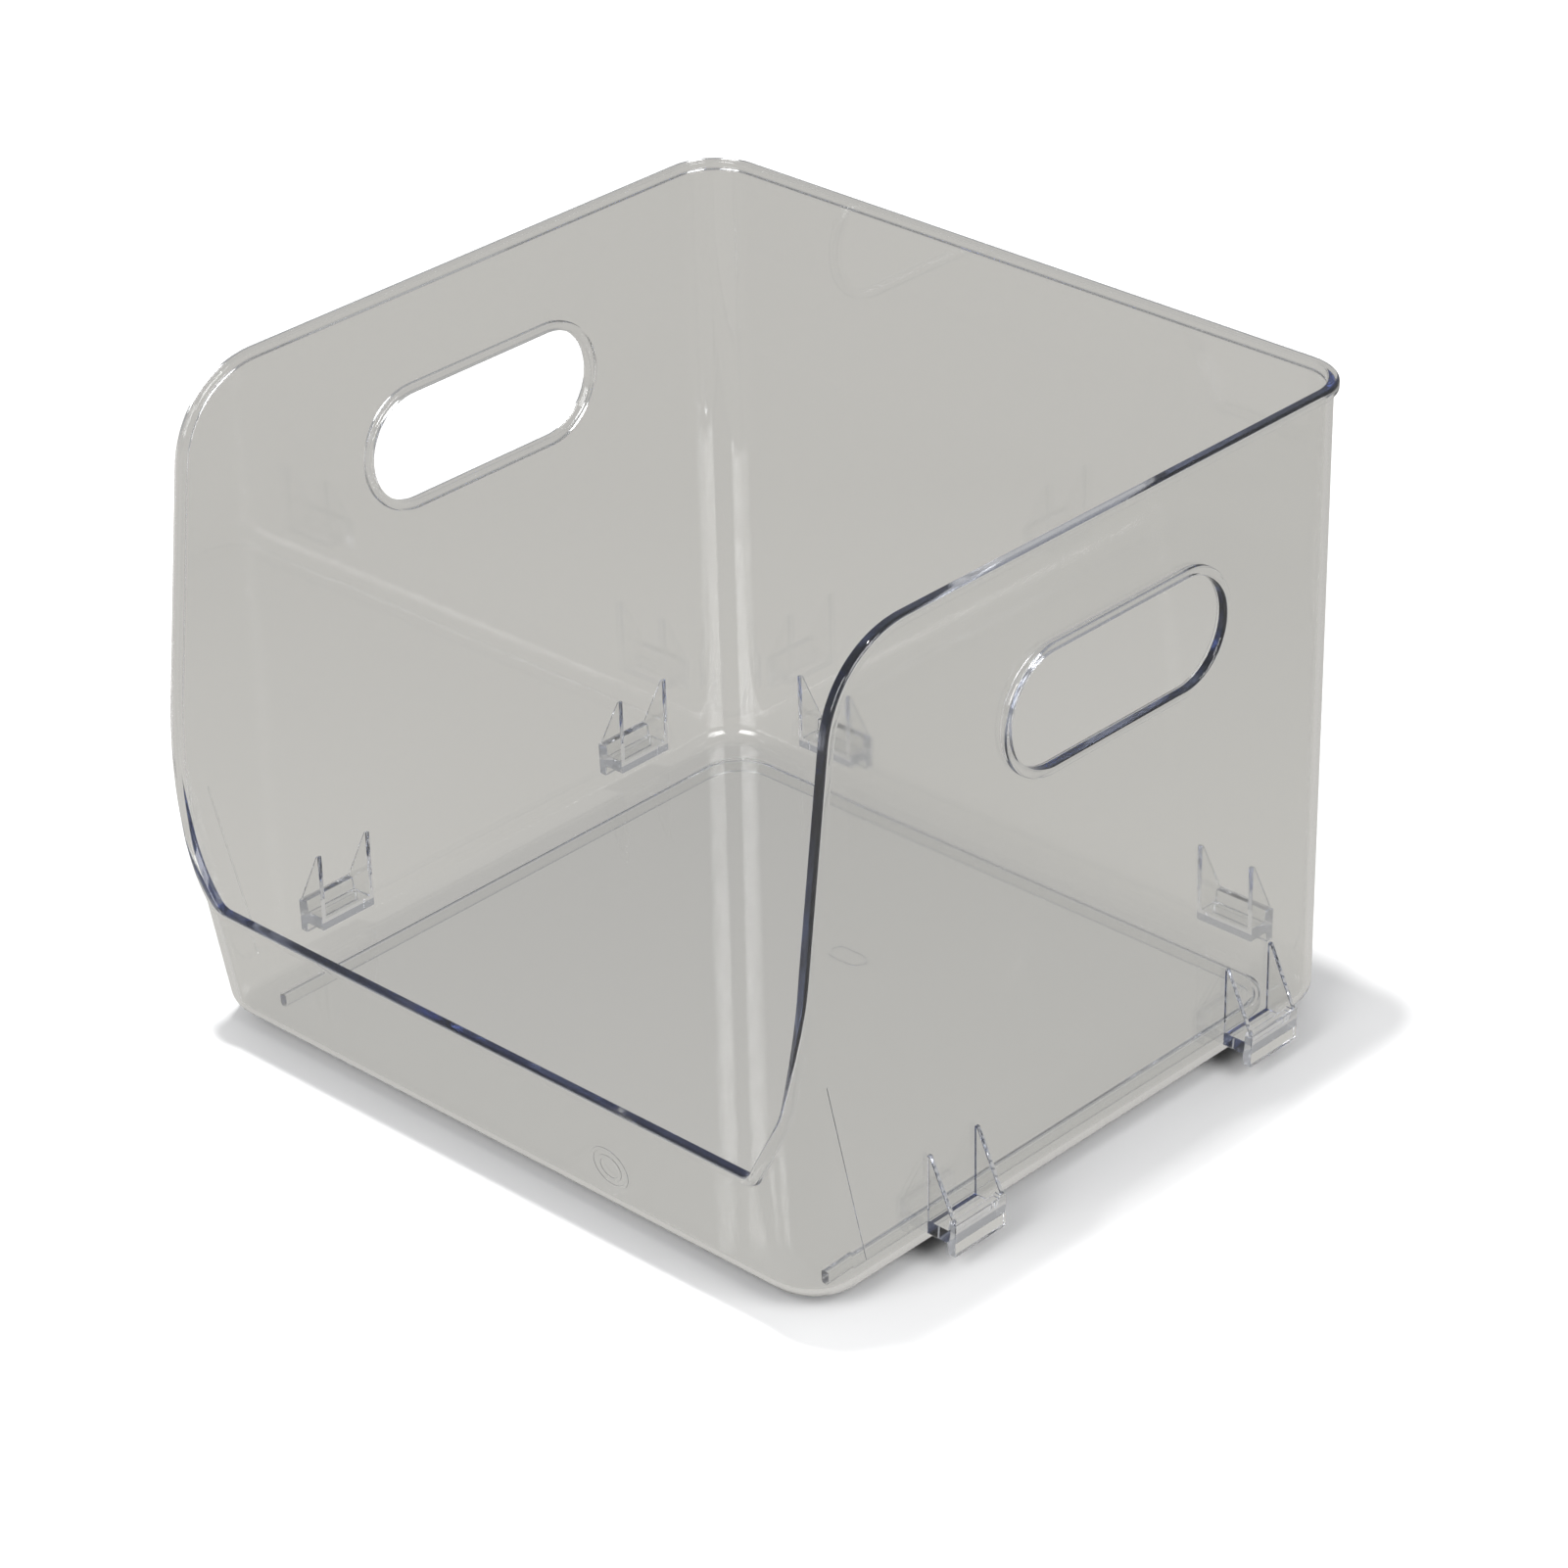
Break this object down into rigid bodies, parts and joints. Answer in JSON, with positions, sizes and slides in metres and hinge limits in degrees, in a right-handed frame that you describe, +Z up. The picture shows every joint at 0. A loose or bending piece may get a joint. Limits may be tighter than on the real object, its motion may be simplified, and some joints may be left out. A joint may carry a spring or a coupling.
{
  "type": "stacking fridge bin",
  "caption": "Clear open-front stacking bin with a low front lip, hand holes in the side walls, hooked stacking brackets and a U-shaped foot rail.",
  "frame": {"origin": "middle of the outer footprint, at the height of the surface the bin stands on", "axes": "+X to the right seen from the low front lip, +Y from the lip to the high back wall, +Z up"},
  "size_m": [0.2686, 0.2455, 0.2065],
  "materials": {
    "clear_plastic": "clear, polished, faintly blue at the edges"
  },
  "bodies": {
    "root": {"bin_shell": "clear_plastic", "rim_bead": "clear_plastic", "grip_bead_left": "clear_plastic", "grip_bead_right": "clear_plastic", "bracket_right_front": "clear_plastic", "bracket_right_rear": "clear_plastic", "bracket_left_front": "clear_plastic", "bracket_left_rear": "clear_plastic", "bracket_back_right": "clear_plastic", "bracket_back_left": "clear_plastic", "foot_rail": "clear_plastic"}
  },
  "joints": []
}
